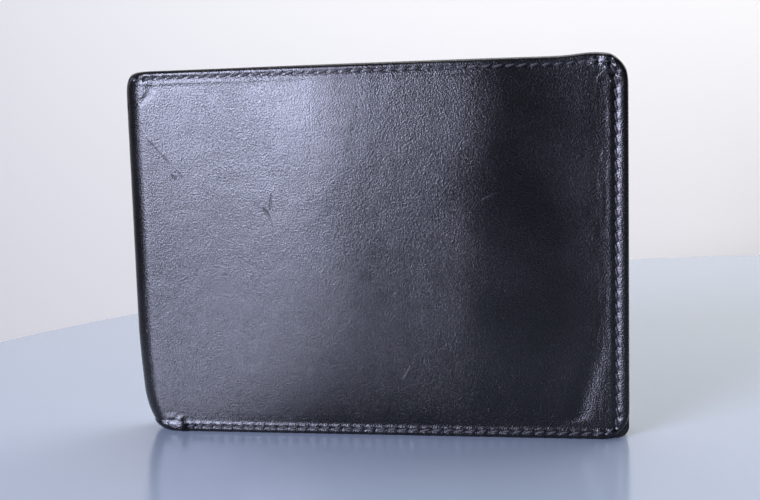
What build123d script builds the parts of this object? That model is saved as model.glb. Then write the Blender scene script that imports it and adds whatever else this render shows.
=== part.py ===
"""A bifold leather wallet with a banknote compartment, card pockets, an identity window and a coin pouch.

The wallet stands closed on its long lower edge, as it does on a table:
    +X runs from the fold to the free edge, -Y is the side of the front cover, +Z is up.
    The origin is the middle of the wallet's footprint.
Every layer of a half is a thin sheet. The outer ones follow one pillow-shaped surface at a stated depth below
the leather's outside, and the inner ones are flat. Lengths are in millimetres and angles in degrees.
"""

import os
from math import acos, cos, degrees, radians, sin, sqrt

from build123d import *

# ---- Driving dimensions ----
width = 129.0
height = 95.0
thickness = 20.0
spine_radius = 6.5
margin_depth = 6.5
bottom_margin = 6.0
crown_height = 60.0
corner_radius_free = 5.0
corner_radius_top = 3.0
corner_radius_fold = 10.0
fold_half_angle = 45.0
fold_gap_angle = 1.4

# ---- Sheets, as depths below the outside of the leather ----
leather = 1.0
lining = 0.2
hem_depth = 2.0
note_wall_depth = 2.5
hem_free = 7.0
hem_bottom = 6.0
hem_top = 4.2
note_wall_top = 89.0

# ---- Flat inner panels ----
panel_outside = 3.95
panel_inside = 3.45
panel_left = -51.0
panel_corner = 1.0
card_panel_top = 86.0
pocket_sheet = 0.5
pocket_gap = 0.1
pocket_left = -50.0
pocket_right = 63.5
pocket_bottom = 1.5
pocket_tops = {"top": 84.0, "middle": 75.0, "lower": 66.0}
pocket_corner = 1.5
frame_top = 57.0
window_width = 78.0
window_height = 40.0
window_centre = (6.5, 30.0)
window_corner = 3.0
film = 0.15
film_lap = 4.0

# ---- Coin pouch ----
coin_panel_top = 70.0
pouch_left = -42.0
pouch_right = 46.0
pouch_bottom = 17.0
pouch_top = 87.0
pouch_back_outside = 5.1
pouch_back_inside = 4.6
pouch_seam = 3.0

# ---- Coin flap: its hinge line runs along X ----
flap_left = -40.0
flap_right = 44.0
flap_bottom = 36.0
flap_leather = 0.6
flap_lining = 0.3
flap_outside = 1.1
flap_hinge_depth = 3.6
flap_hinge_height = 80.3
flap_shoulder_height = 76.5
flap_shoulder_radius = 1.5
flap_corner = 17.0
flap_start = 0.6
flap_lining_inset = 1.5
root_depths = (3.95, 4.55)
root_bottom = 80.9

# ---- Press stud ----
snap_x = 2.0
snap_z = 46.0
cap_radius = 6.0
cap_rise = 0.6
cap_rim = 0.25
rivet_radius = 1.5
rivet_clearance = 0.05
socket_radius = 4.6
socket_height = 1.1
socket_mouth_radius = 2.9
socket_mouth_depth = 0.95
stud_radius = 4.3
stud_flange = 0.15
stud_head_radius = 2.5
stud_neck_radius = 2.15
stud_height = 1.0
post_radius = 4.0
post_flange = 0.35

# ---- Stitching ----
stitch_pitch = 3.0
stitch_length = 2.3
thread_radius = 0.25
thread_lift = 0.35
seam_inset = 3.2
top_seam_inset = 2.0

# ---- Worked out ----
half_width = width / 2
half_thickness = thickness / 2
fold_x = -half_width + spine_radius
rise = half_thickness - spine_radius
# The crown across the wallet is an arc about x = 0 that meets the spine's arc in one tangent.
crown_radius = (fold_x**2 / rise + half_thickness + spine_radius) / 2
# It leaves the spine's arc at this angle from the wallet's mid-plane.
crown_angle = degrees(acos(-fold_x / (crown_radius - spine_radius)))
# The crown up the wallet is an arc that reaches its full depth at crown_height.
lift_radius = ((crown_height - bottom_margin) ** 2 / rise + rise) / 2
front, back = -1, 1
# Cuts through the whole wallet start from this plane, in front of it, and go back.
front_plane = Plane.XZ.offset(thickness)

os.makedirs("parts", exist_ok=True)


def save(node, label):
    """Labels a finished piece and writes it as its own STEP file."""
    node.part.label = label
    export_step(node.part, f"parts/{label}.step")


def crown(x, depth):
    """Distance from the fold's mid-plane to a sheet at that depth, at a place across the wallet."""
    arc = half_thickness - crown_radius + sqrt((crown_radius - depth) ** 2 - x**2)
    return max(arc, margin_depth - depth) if x > 0 else arc


def lift(z, depth):
    """The same up the wallet: flat in the lower margin, then an arc."""
    if z < bottom_margin:
        return margin_depth - depth
    arc_centre = half_thickness - lift_radius
    return arc_centre + sqrt((lift_radius - depth) ** 2 - (z - crown_height) ** 2)


def surface(x, z, depth=0.0):
    """Distance from the mid-plane to the pillow-shaped sheet at that depth."""
    return min(crown(x, depth), lift(z, depth))


def spine_point(radius, angle, side):
    """A point of the fold's round, at an angle from the wallet's mid-plane."""
    return (fold_x - radius * cos(radians(angle)), side * radius * sin(radians(angle)))


def across_section(depth):
    """The filled section of the back half, seen from above, from the mid-plane out to a sheet at that depth."""
    margin = margin_depth - depth
    margin_start = sqrt((crown_radius - depth) ** 2 - (margin - half_thickness + crown_radius) ** 2)
    round_radius = spine_radius - depth
    fold_end = fold_half_angle + fold_gap_angle / 2
    first = spine_point(round_radius, fold_end, back)
    between = spine_point(round_radius, (fold_end + crown_angle) / 2, back)
    touch = spine_point(round_radius, crown_angle, back)
    peak = (0, half_thickness - depth)
    edge = (margin_start, margin)
    with BuildSketch() as section:
        with BuildLine():
            Line((fold_x, 0), first)
            ThreePointArc(first, between, touch)
            ThreePointArc(touch, peak, edge)
            Polyline(edge, (half_width, margin), (half_width, 0), (fold_x, 0))
        make_face()
    return section.sketch


def upright_section(depth):
    """The filled section of the back half, seen from the free edge."""
    margin = margin_depth - depth
    with BuildSketch(Plane.YZ.offset(-width)) as section:
        with BuildLine():
            arc_start = (lift(bottom_margin, depth), bottom_margin)
            Polyline((0, 0), (margin, 0), arc_start)
            peak = (half_thickness - depth, crown_height)
            top = (lift(height, depth), height)
            ThreePointArc(arc_start, peak, top)
            Polyline(top, (0, height), (0, 0))
        make_face()
    return section.sketch


def pillow(depth):
    """All of the back half that lies inside a sheet at that depth."""
    from_above = across_section(depth)
    from_free_edge = upright_section(depth)
    with BuildPart() as body:
        extrude(from_above, amount=height, dir=(0, 0, 1))
        extrude(from_free_edge, amount=2 * width, dir=(1, 0, 0), mode=Mode.INTERSECT)
    return body.part


def mirrored(sheet):
    """The same sheet on the front half."""
    with BuildPart() as other:
        mirror(sheet.part, about=Plane.XZ)
    return other


def outline():
    """The wallet's outline from the front, as a block with rounded corners."""
    rounded = [
        ((-half_width, 0), corner_radius_fold),
        ((half_width, 0), corner_radius_free),
        ((-half_width, height), corner_radius_top),
        ((half_width, height), corner_radius_top),
    ]
    with BuildPart() as block:
        with BuildSketch(front_plane) as face:
            with Locations((0, height / 2)):
                Rectangle(width, height)
            for corner, radius in rounded:
                fillet(face.vertices().sort_by_distance(corner)[0], radius)
        extrude(amount=-2 * thickness)
    return block.part


def slab(x_range, z_range, near, far):
    """A box on the back half given by its ranges, its depths counted from the mid-plane."""
    (left, right), (low, high) = x_range, z_range
    with BuildPart() as block:
        with Locations(((left + right) / 2, (near + far) / 2, (low + high) / 2)):
            Box(right - left, far - near, high - low)
    return block.part


whole = outline()
outside = pillow(0)
inside_leather = pillow(leather)
inside_lining = pillow(leather + lining)
inside_hem = pillow(hem_depth)
inside_note_wall = pillow(note_wall_depth)
clear_of_hem = slab((-width, half_width - hem_free), (hem_bottom, height - hem_top), -1, thickness)
below_note_wall_top = slab((-width, half_width), (0, note_wall_top), 0, thickness)


# ---- Outer leather: one hide that runs round the fold, in three pieces joined by the two fold lines.
# ---- Its hem is turned in along the top, the free edge and the bottom.
with BuildPart() as hem:
    add(inside_leather)
    add(inside_hem, mode=Mode.SUBTRACT)
    add(clear_of_hem, mode=Mode.SUBTRACT)

with BuildPart() as back_cover:
    add(outside)
    add(inside_leather, mode=Mode.SUBTRACT)
    add(hem.part)
    add(whole, mode=Mode.INTERSECT)
save(back_cover, "back_cover")
save(mirrored(back_cover), "front_cover")


def spine_sheet(outer_depth, inner_depth, low, high):
    """The stretch of a sheet between the two fold lines: part of a tube about the fold."""
    half_angle = fold_half_angle - fold_gap_angle / 2
    outer, inner = spine_radius - outer_depth, spine_radius - inner_depth
    with BuildPart() as sheet:
        with BuildSketch(Plane.XY.offset(low)):
            with BuildLine():
                start, end = spine_point(outer, half_angle, back), spine_point(outer, half_angle, front)
                ThreePointArc(start, (fold_x - outer, 0), end)
                inner_end = spine_point(inner, half_angle, front)
                inner_start = spine_point(inner, half_angle, back)
                Line(end, inner_end)
                ThreePointArc(inner_end, (fold_x - inner, 0), inner_start)
                Line(inner_start, start)
            make_face()
        extrude(amount=high - low)
        add(whole, mode=Mode.INTERSECT)
    return sheet


save(spine_sheet(0, leather, 0, height), "spine_cover")


# ---- Cloth lining, glued inside the leather and caught under the hem ----
with BuildPart() as back_cover_lining:
    add(inside_leather)
    add(inside_lining, mode=Mode.SUBTRACT)
    add(clear_of_hem, mode=Mode.INTERSECT)
save(back_cover_lining, "back_cover_lining")
save(mirrored(back_cover_lining), "front_cover_lining")
save(spine_sheet(leather, leather + lining, hem_bottom, height - hem_top), "spine_lining")


# ---- Inner wall of the banknote compartment, which also runs round the fold ----
with BuildPart() as back_note_wall:
    add(inside_hem)
    add(inside_note_wall, mode=Mode.SUBTRACT)
    add(below_note_wall_top, mode=Mode.INTERSECT)
    add(whole, mode=Mode.INTERSECT)
save(back_note_wall, "back_note_wall")
save(mirrored(back_note_wall), "front_note_wall")
save(spine_sheet(hem_depth, note_wall_depth, 0, note_wall_top), "spine_note_wall")


# ---- Flat panels and card pockets ----
def flat_sheet(x_range, z_range, depths, side, corner):
    """A flat sheet with rounded corners, its depths counted from the mid-plane."""
    (left, right), (low, high), (near, far) = x_range, z_range, depths
    with BuildPart() as sheet:
        with BuildSketch(Plane.XZ.offset(-side * near)):
            with Locations(((left + right) / 2, (low + high) / 2)):
                RectangleRounded(right - left, high - low, corner)
        extrude(amount=-side * (far - near))
    return sheet


panel_depths = (panel_inside, panel_outside)
card_sheet = flat_sheet((panel_left, half_width), (0, card_panel_top), panel_depths, back, panel_corner)
with BuildPart() as card_panel:
    add(card_sheet.part)
    add(whole, mode=Mode.INTERSECT)
save(card_panel, "card_panel")

pocket_face = panel_inside
for level, pocket_top in pocket_tops.items():
    near = pocket_face - pocket_gap - pocket_sheet
    pocket = flat_sheet(
        (pocket_left, pocket_right),
        (pocket_bottom, pocket_top),
        (near, near + pocket_sheet),
        back,
        pocket_corner,
    )
    save(pocket, f"card_pocket_{level}")
    pocket_face = near

film_far = pocket_face - pocket_gap / 2
film_near = film_far - film
window_x, window_z = window_centre
id_window_film = flat_sheet(
    (window_x - window_width / 2 - film_lap, window_x + window_width / 2 + film_lap),
    (window_z - window_height / 2 - film_lap, window_z + window_height / 2 + film_lap),
    (film_near, film_far),
    back,
    pocket_corner,
)
save(id_window_film, "id_window_film")

frame_far = film_near - pocket_gap / 2
frame_near = frame_far - pocket_sheet
frame_sheet = flat_sheet(
    (pocket_left, pocket_right),
    (pocket_bottom, frame_top),
    (frame_near, frame_far),
    back,
    pocket_corner,
)
with BuildPart() as id_window_frame:
    add(frame_sheet.part)
    with BuildSketch(front_plane):
        with Locations(window_centre):
            RectangleRounded(window_width, window_height, window_corner)
    extrude(amount=-2 * thickness, mode=Mode.SUBTRACT)
save(id_window_frame, "id_window_frame")


# ---- Coin pouch: the panel is its front, and a seam strip joins the panel to its back ----
snap_place = front_plane * Pos(snap_x, snap_z, 0)

coin_sheet = flat_sheet((panel_left, half_width), (0, coin_panel_top), panel_depths, front, panel_corner)
with BuildPart() as coin_panel:
    add(coin_sheet.part)
    add(whole, mode=Mode.INTERSECT)
    with BuildSketch(snap_place):
        Circle(rivet_radius + rivet_clearance)
    extrude(amount=-2 * thickness, mode=Mode.SUBTRACT)
save(coin_panel, "coin_panel")

pouch_x = (pouch_left, pouch_right)
pouch_depths = (pouch_back_inside, pouch_back_outside)
coin_pouch_back = flat_sheet(pouch_x, (pouch_bottom, pouch_top), pouch_depths, front, 2)
save(coin_pouch_back, "coin_pouch_back")

with BuildPart() as coin_pouch_seam:
    with BuildSketch(Plane.XZ.offset(panel_outside)):
        with Locations(((pouch_left + pouch_right) / 2, (pouch_bottom + coin_panel_top) / 2)):
            Rectangle(pouch_right - pouch_left, coin_panel_top - pouch_bottom)
        with Locations(((pouch_left + pouch_right) / 2, (pouch_bottom + coin_panel_top + pouch_seam) / 2)):
            inner_width = pouch_right - pouch_left - 2 * pouch_seam
            inner_height = coin_panel_top - pouch_bottom - pouch_seam
            Rectangle(inner_width, inner_height, mode=Mode.SUBTRACT)
    extrude(amount=pouch_back_inside - panel_outside)
save(coin_pouch_seam, "coin_pouch_seam")


# ---- Coin flap: bends from its sewn root over the mouth of the pouch ----
def flap_path(depth):
    """The flap's line from the hinge over the shoulder and down, at a depth from the mid-plane, in Plane.YZ."""
    shoulder = (-depth, flap_shoulder_height)
    lean = depth - flap_outside
    start = (-(flap_hinge_depth - flap_start / 2) - lean / 2, flap_hinge_height - flap_start)
    return [start, shoulder, (-depth, flap_bottom)]


def flap_sheet(depth, sheet, inset):
    """One layer of the flap, cut to the flap's rounded outline."""
    with BuildPart() as layer:
        with BuildSketch(Plane.YZ.offset(flap_left + inset)):
            with BuildLine():
                near = FilletPolyline(*flap_path(depth), radius=flap_shoulder_radius)
                far = FilletPolyline(*flap_path(depth + sheet), radius=flap_shoulder_radius)
                Line(near @ 0, far @ 0)
                Line(near @ 1, far @ 1)
            make_face()
        extrude(amount=flap_right - flap_left - 2 * inset)
        with BuildSketch(front_plane) as face:
            with BuildLine():
                left, right = flap_left + inset, flap_right - inset
                low, high = flap_bottom + inset, height
                Polyline((left, high), (left, low), (right, low), (right, high), close=True)
            make_face()
            fillet(face.vertices().group_by(Axis.Y)[0], flap_corner)
        extrude(amount=-2 * thickness, mode=Mode.INTERSECT)
        with BuildSketch(snap_place):
            Circle(rivet_radius + rivet_clearance)
        extrude(amount=-2 * thickness, mode=Mode.SUBTRACT)
    return layer


save(flap_sheet(flap_outside, flap_leather, 0), "coin_flap_leather")
save(flap_sheet(flap_outside + flap_leather, flap_lining, flap_lining_inset), "coin_flap_lining")

coin_flap_root = flat_sheet((flap_left, flap_right), (root_bottom, pouch_top), root_depths, front, 0.8)
save(coin_flap_root, "coin_flap_root")


# ---- Press stud: cap and socket ride on the flap, stud and post on the coin panel ----
def turned(points, label):
    """A turned metal piece: points are (radius, depth from the mid-plane)."""
    with BuildPart() as piece:
        with BuildSketch(Plane.XY * Pos(snap_x, 0, snap_z)):
            with BuildLine():
                Polyline([(radius, -depth) for radius, depth in points], close=True)
            make_face()
        revolve(axis=Axis((snap_x, 0, snap_z), (0, 1, 0)))
    save(piece, label)


flap_back = flap_outside + flap_leather + flap_lining
socket_far = flap_back + socket_height
turned(
    [
        (0, flap_outside - cap_rise),
        (cap_radius * 0.55, flap_outside - cap_rise * 0.85),
        (cap_radius, flap_outside - cap_rim),
        (cap_radius, flap_outside),
        (rivet_radius, flap_outside),
        (rivet_radius, flap_back),
        (0, flap_back),
    ],
    "snap_cap",
)
turned(
    [
        (0, flap_back),
        (socket_radius, flap_back),
        (socket_radius, socket_far - 0.3),
        (socket_radius - 0.4, socket_far),
        (socket_mouth_radius, socket_far),
        (socket_mouth_radius, socket_far - socket_mouth_depth),
        (0, socket_far - socket_mouth_depth),
    ],
    "snap_socket",
)
stud_face = panel_inside - stud_flange
turned(
    [
        (0, panel_inside),
        (stud_radius, panel_inside),
        (stud_radius, stud_face + 0.1),
        (stud_radius - 0.3, stud_face),
        (stud_neck_radius, stud_face),
        (stud_head_radius, panel_inside - stud_height * 0.7),
        (stud_neck_radius, panel_inside - stud_height),
        (0, panel_inside - stud_height),
    ],
    "snap_stud",
)
turned(
    [
        (0, panel_inside),
        (rivet_radius, panel_inside),
        (rivet_radius, panel_outside),
        (post_radius, panel_outside),
        (post_radius, panel_outside + post_flange),
        (0, panel_outside + post_flange),
    ],
    "snap_post",
)


# ---- Stitching: each row is a line of short threads that lie on a sheet ----
def run(start, end):
    """Middles of the stitches from one place to another, and the angle they run at."""
    length = sqrt((end[0] - start[0]) ** 2 + (end[1] - start[1]) ** 2)
    count = int(length / stitch_pitch)
    steps = [(i + 0.5) / count for i in range(count)]
    middles = [(start[0] + t * (end[0] - start[0]), start[1] + t * (end[1] - start[1])) for t in steps]
    return middles, end[0] == start[0]


def stitches(rows, face, side):
    """Threads along rows in the XZ plane. face(x, z) is the sheet's distance from the mid-plane."""
    with BuildPart() as thread:
        for start, end, away in rows:
            middles, upright = run(start, end)
            turn = (0, 0, 0) if upright else (0, 90, 0)
            for x, z in middles:
                with Locations((x, side * (face(x, z) + away * thread_lift), z)):
                    Cylinder(thread_radius, stitch_length, rotation=turn)
    return thread


free_seam = half_width - seam_inset
bottom_seam = seam_inset
top_seam = height - top_seam_inset
seam_corner = 4.0
edge_rows = [
    ((fold_x + 1, bottom_seam), (free_seam - seam_corner, bottom_seam), 1),
    ((free_seam, bottom_seam + seam_corner), (free_seam, top_seam - seam_corner), 1),
    ((fold_x + 1, top_seam), (free_seam - seam_corner, top_seam), 1),
]
save(stitches(edge_rows, surface, front), "front_edge_thread")
save(stitches(edge_rows, surface, back), "back_edge_thread")


def card_face(x, z):
    """Distance from the mid-plane to the foremost sheet of the card side."""
    if z < frame_top:
        return frame_near
    face = panel_inside
    for top in pocket_tops.values():
        if z < top:
            face -= pocket_gap + pocket_sheet
    return face


card_seam = pocket_left + 2.5
card_rows = [
    ((card_seam, 4.0), (card_seam, frame_top), -1),
    ((card_seam, frame_top), (card_seam, pocket_tops["lower"]), -1),
    ((card_seam, pocket_tops["lower"]), (card_seam, pocket_tops["middle"]), -1),
    ((card_seam, pocket_tops["middle"]), (card_seam, pocket_tops["top"]), -1),
]
save(stitches(card_rows, card_face, back), "card_pocket_thread")

pouch_seam_middle = pouch_seam / 2
pouch_left_seam = pouch_left + pouch_seam_middle
pouch_right_seam = pouch_right - pouch_seam_middle
pouch_bottom_seam = pouch_bottom + pouch_seam_middle
pouch_rows = [
    ((pouch_left_seam, pouch_bottom_seam + stitch_pitch), (pouch_left_seam, coin_panel_top), -1),
    ((pouch_right_seam, pouch_bottom_seam + stitch_pitch), (pouch_right_seam, coin_panel_top), -1),
    ((pouch_left_seam + stitch_pitch, pouch_bottom_seam), (pouch_right_seam, pouch_bottom_seam), -1),
]
save(stitches(pouch_rows, lambda x, z: panel_inside, front), "coin_pouch_thread")

root_middle = (root_bottom + pouch_top) / 2
root_rows = [((flap_left + 2, root_middle), (flap_right - 2, root_middle), -1)]
save(stitches(root_rows, lambda x, z: root_depths[0], front), "coin_flap_root_thread")

flap_seam = 2.5
flap_rows = [
    ((flap_left + flap_seam, flap_bottom + flap_corner), (flap_left + flap_seam, flap_shoulder_height - 2), -1),
    ((flap_right - flap_seam, flap_bottom + flap_corner), (flap_right - flap_seam, flap_shoulder_height - 2), -1),
    ((flap_left + flap_corner, flap_bottom + flap_seam), (flap_right - flap_corner, flap_bottom + flap_seam), -1),
]
save(stitches(flap_rows, lambda x, z: flap_outside, front), "coin_flap_thread")

print("crown radius", round(crown_radius, 2), "lift radius", round(lift_radius, 2))
hinge_x, hinge_y = spine_point(spine_radius, fold_half_angle, back)
print("fold lines at x", round(hinge_x, 4), "y", round(hinge_y, 4), "and", round(-hinge_y, 4))
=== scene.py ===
# %% [markdown]
# # A black leather bifold wallet
# The wallet stands closed on its long lower edge, with the fold at the left. It is rebuilt here piece by piece:
# the leather of the cover, its seams, the cloth lining, the card pockets and the coin pouch.
# Lengths are in metres. +X runs from the fold to the free edge, -Y is the front and +Z is up.

# %% Load the frame
from math import cos, exp, hypot, pi, radians, sin, sqrt

import bmesh
import bpy
import numpy as np
from mathutils import Euler, Matrix, Quaternion, Vector, kdtree, noise


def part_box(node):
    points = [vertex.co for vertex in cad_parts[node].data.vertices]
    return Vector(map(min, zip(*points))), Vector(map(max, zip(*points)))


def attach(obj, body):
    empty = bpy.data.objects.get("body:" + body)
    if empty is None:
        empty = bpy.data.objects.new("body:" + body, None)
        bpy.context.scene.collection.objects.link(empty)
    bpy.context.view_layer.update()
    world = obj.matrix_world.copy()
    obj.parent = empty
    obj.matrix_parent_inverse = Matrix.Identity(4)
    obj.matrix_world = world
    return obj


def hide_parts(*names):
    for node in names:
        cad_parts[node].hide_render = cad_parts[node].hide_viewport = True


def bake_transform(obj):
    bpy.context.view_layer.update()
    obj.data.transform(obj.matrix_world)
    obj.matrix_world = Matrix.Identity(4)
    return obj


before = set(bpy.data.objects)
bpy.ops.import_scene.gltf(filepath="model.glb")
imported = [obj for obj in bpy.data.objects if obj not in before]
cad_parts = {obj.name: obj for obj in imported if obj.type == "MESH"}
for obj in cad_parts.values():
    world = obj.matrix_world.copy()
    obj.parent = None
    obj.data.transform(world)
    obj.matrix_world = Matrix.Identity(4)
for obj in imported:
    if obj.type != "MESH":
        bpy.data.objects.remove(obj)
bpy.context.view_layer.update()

FRONT, BACK = -1, 1
DECIMETRES = 10

# %% [markdown]
# ## Camera
# The camera stands about 0.28 m in front of the wallet, a little to the right, so the free edge looks slightly
# larger than the fold. It is a little below the wallet's top edge, looks slightly down and is tilted a little.

# %% Place the camera
bpy.ops.object.select_all(action="DESELECT")
look_down, turn_left, tilt = 6.3, 9.86, -1.59
bpy.ops.object.camera_add(location=(0.0509, -0.2823, 0.0791))
camera = bpy.context.object
camera.name = "view"
camera.data.lens = 52.8
camera.data.sensor_width = 36.0
camera.data.clip_start = 0.01
looking = Euler((radians(90 - look_down), 0, radians(turn_left))).to_quaternion()
camera.rotation_euler = (looking @ Quaternion((0, 0, 1), radians(tilt))).to_euler()
bpy.context.scene.camera = camera
print("camera", tuple(round(v, 3) for v in camera.location))

# %% [markdown]
# ## Floor, background and light
# The wallet stands on a pale, round, slightly glossy table in front of a white wall. The main light is a window in
# front and to the left, so the left of the leather shines softly and the right stays nearly black. A light over the
# wall keeps it white, and a broad one behind the wallet lights its back.

# %% Helpers for colours and nodes
def new_material(name):
    """An empty node material with its Principled shader and output."""
    material = bpy.data.materials.new(name)
    material.use_nodes = True
    tree = material.node_tree
    tree.nodes.clear()
    output = tree.nodes.new("ShaderNodeOutputMaterial")
    shader = tree.nodes.new("ShaderNodeBsdfPrincipled")
    tree.links.new(shader.outputs["BSDF"], output.inputs["Surface"])
    return material, tree, shader


def put(tree, kind, **settings):
    """Adds a node and sets its properties and its inputs by name."""
    node = tree.nodes.new(kind)
    for key, value in settings.items():
        if hasattr(node, key):
            setattr(node, key, value)
        else:
            node.inputs[key.replace("_", " ")].default_value = value
    return node


def math(tree, operation, first, second=None, third=None, clamp=False):
    """A Math node fed by sockets or numbers; returns its output."""
    node = tree.nodes.new("ShaderNodeMath")
    node.operation = operation
    node.use_clamp = clamp
    for socket, value in zip(node.inputs, (first, second, third)):
        if value is None:
            continue
        if hasattr(value, "node"):
            tree.links.new(value, socket)
        else:
            socket.default_value = value
    return node.outputs[0]


def remap(tree, value, low, high, to_low=0.0, to_high=1.0):
    """Smoothly remaps a socket from one range to another."""
    node = tree.nodes.new("ShaderNodeMapRange")
    node.interpolation_type = "SMOOTHSTEP"
    tree.links.new(value, node.inputs["Value"])
    node.inputs["From Min"].default_value = low
    node.inputs["From Max"].default_value = high
    node.inputs["To Min"].default_value = to_low
    node.inputs["To Max"].default_value = to_high
    return node.outputs["Result"]


def mix(tree, factor, first, second):
    """Mixes two colours by a factor socket; returns the colour socket."""
    node = tree.nodes.new("ShaderNodeMix")
    node.data_type = "RGBA"
    sockets = [s for s in node.inputs if s.enabled]
    for socket, value in zip(sockets, (factor, first, second)):
        if hasattr(value, "node"):
            tree.links.new(value, socket)
        else:
            socket.default_value = value
    return [s for s in node.outputs if s.enabled][0]

# %% Table and wall
def plain(name, colour, roughness):
    """A plain material for the surroundings."""
    material, tree, shader = new_material(name)
    shader.inputs["Base Color"].default_value = colour
    shader.inputs["Roughness"].default_value = roughness
    return material


table_radius, table_centre, table_thickness = 0.40, (0.210, -0.015, 0), 0.02
wall_y = 0.85
bpy.ops.mesh.primitive_circle_add(vertices=128, radius=table_radius, fill_type="NGON", location=table_centre)
table = bpy.context.object
table.name = "table"
bpy.ops.object.mode_set(mode="EDIT")
bpy.ops.mesh.select_all(action="SELECT")
bpy.ops.mesh.extrude_region_move(TRANSFORM_OT_translate={"value": (0, 0, -table_thickness)})
bpy.ops.object.mode_set(mode="OBJECT")
table.data.materials.append(plain("pale_table", (0.31, 0.36, 0.43, 1), 0.18))
bpy.ops.mesh.primitive_plane_add(size=5, location=(0, wall_y, 0), rotation=(radians(90), 0, 0))
wall = bpy.context.object
wall.name = "wall"
wall.data.materials.append(plain("white_wall", (0.95, 0.92, 0.80, 1), 0.8))
print("surroundings", table.name, wall.name)

# %% Hang the lights
def soft_light(name, place, target, size, power, colour):
    """A square area light at a place, turned towards a target."""
    bpy.ops.object.light_add(type="AREA", location=place)
    light = bpy.context.object
    light.name = name
    light.data.size = size
    light.data.energy = power
    light.data.color = colour
    light.rotation_euler = (Vector(target) - Vector(place)).to_track_quat("-Z", "Y").to_euler()
    return light


wallet_middle = (0, 0, 0.05)
soft_light("window", (-0.53, -0.86, 0.29), wallet_middle, size=0.46, power=26, colour=(0.70, 0.73, 1.0))
soft_light("back_fill", (0.60, 0.66, 0.50), wallet_middle, size=0.90, power=7, colour=(1.0, 1.0, 1.0))
soft_light("wall_light", (0.1, 0.30, 1.1), (0, wall_y, 0.15), size=0.8, power=8.5, colour=(1.0, 1.0, 0.99))

# %% Colours and backdrop
# The Standard view keeps the step from the bright shine to the nearly black leather. The backdrop looks bright to
# the camera but gives little light, so that it doesn't grey the leather.
faint, bright = 0.06, 0.85
bpy.context.scene.view_settings.view_transform = "Standard"
world = bpy.data.worlds.new("studio")
world.use_nodes = True
backdrop = world.node_tree.nodes["Background"]
backdrop.inputs["Color"].default_value = (0.80, 0.84, 0.90, 1)
ray = world.node_tree.nodes.new("ShaderNodeLightPath")
strength = world.node_tree.nodes.new("ShaderNodeMapRange")
strength.inputs["To Min"].default_value = faint
strength.inputs["To Max"].default_value = bright
world.node_tree.links.new(ray.outputs["Is Camera Ray"], strength.inputs["Value"])
world.node_tree.links.new(strength.outputs["Result"], backdrop.inputs["Strength"])
bpy.context.scene.world = world
print("backdrop", world.name)

# %% [markdown]
# ## Leather
# Smooth calf leather has fine pebbles about 0.4 mm across, deeper in some areas than others, and a
# polish that varies in soft clouds. A shader group builds the pebbles from Voronoi cells, once, for every leather.
# It reads the sheet's own UV map, in decimetres, so the grain bends with the leather.

# %% Shader group: leather grain
def group_of(name, inputs, outputs):
    """A shader group with named inputs (name, kind, default) and outputs (name, kind)."""
    group = bpy.data.node_groups.new(name, "ShaderNodeTree")
    for label, kind, default in inputs:
        socket = group.interface.new_socket(label, in_out="INPUT", socket_type=f"NodeSocket{kind}")
        if default is not None:
            socket.default_value = default
    for label, kind in outputs:
        group.interface.new_socket(label, in_out="OUTPUT", socket_type=f"NodeSocket{kind}")
    return group, group.nodes.new("NodeGroupInput"), group.nodes.new("NodeGroupOutput")


grain, source, result = group_of(
    "leather_grain",
    [("Vector", "Vector", None), ("Pebble Size", "Float", 0.0055), ("Softness", "Float", 0.6)],
    [("Height", "Float"), ("Cloud", "Float")],
)
frequency = math(grain, "DIVIDE", 1.0, source.outputs["Pebble Size"])
wobble = put(grain, "ShaderNodeTexNoise", Detail=2.0)
grain.links.new(source.outputs["Vector"], wobble.inputs["Vector"])
grain.links.new(math(grain, "MULTIPLY", frequency, 0.6), wobble.inputs["Scale"])
shift = put(grain, "ShaderNodeVectorMath", operation="SCALE")
shift.inputs["Scale"].default_value = 0.004
grain.links.new(wobble.outputs["Color"], shift.inputs[0])
shifted = put(grain, "ShaderNodeVectorMath", operation="ADD")
grain.links.new(source.outputs["Vector"], shifted.inputs[0])
grain.links.new(shift.outputs["Vector"], shifted.inputs[1])
cells = put(grain, "ShaderNodeTexVoronoi", feature="SMOOTH_F1")
grain.links.new(shifted.outputs["Vector"], cells.inputs["Vector"])
grain.links.new(frequency, cells.inputs["Scale"])
grain.links.new(source.outputs["Softness"], cells.inputs["Smoothness"])
fine = put(grain, "ShaderNodeTexNoise", Detail=3.0, Roughness=0.6)
grain.links.new(source.outputs["Vector"], fine.inputs["Vector"])
grain.links.new(math(grain, "MULTIPLY", frequency, 2.3), fine.inputs["Scale"])
area = put(grain, "ShaderNodeTexNoise", Scale=4.0, Detail=3.0)
grain.links.new(source.outputs["Vector"], area.inputs["Vector"])
pebbles = math(grain, "SUBTRACT", 0.9, cells.outputs["Distance"])
strength = remap(grain, area.outputs["Fac"], 0.35, 0.62, 0.75, 1.0)
height = math(grain, "MULTIPLY", pebbles, strength)
height = math(grain, "MULTIPLY_ADD", fine.outputs["Fac"], 0.35, height)
grain.links.new(height, result.inputs["Height"])
grain.links.new(area.outputs["Fac"], result.inputs["Cloud"])

# %% Shader group: one scratch
scratch, source, result = group_of(
    "scratch",
    [("Vector", "Vector", None), ("Start", "Vector", None), ("End", "Vector", None), ("Width", "Float", 0.002)],
    [("Mask", "Float")],
)


def vector_math(tree, operation, first, second=None):
    """A Vector Math node fed by sockets; returns the node."""
    node = tree.nodes.new("ShaderNodeVectorMath")
    node.operation = operation
    tree.links.new(first, node.inputs[0])
    if second is not None:
        tree.links.new(second, node.inputs[1])
    return node


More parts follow.
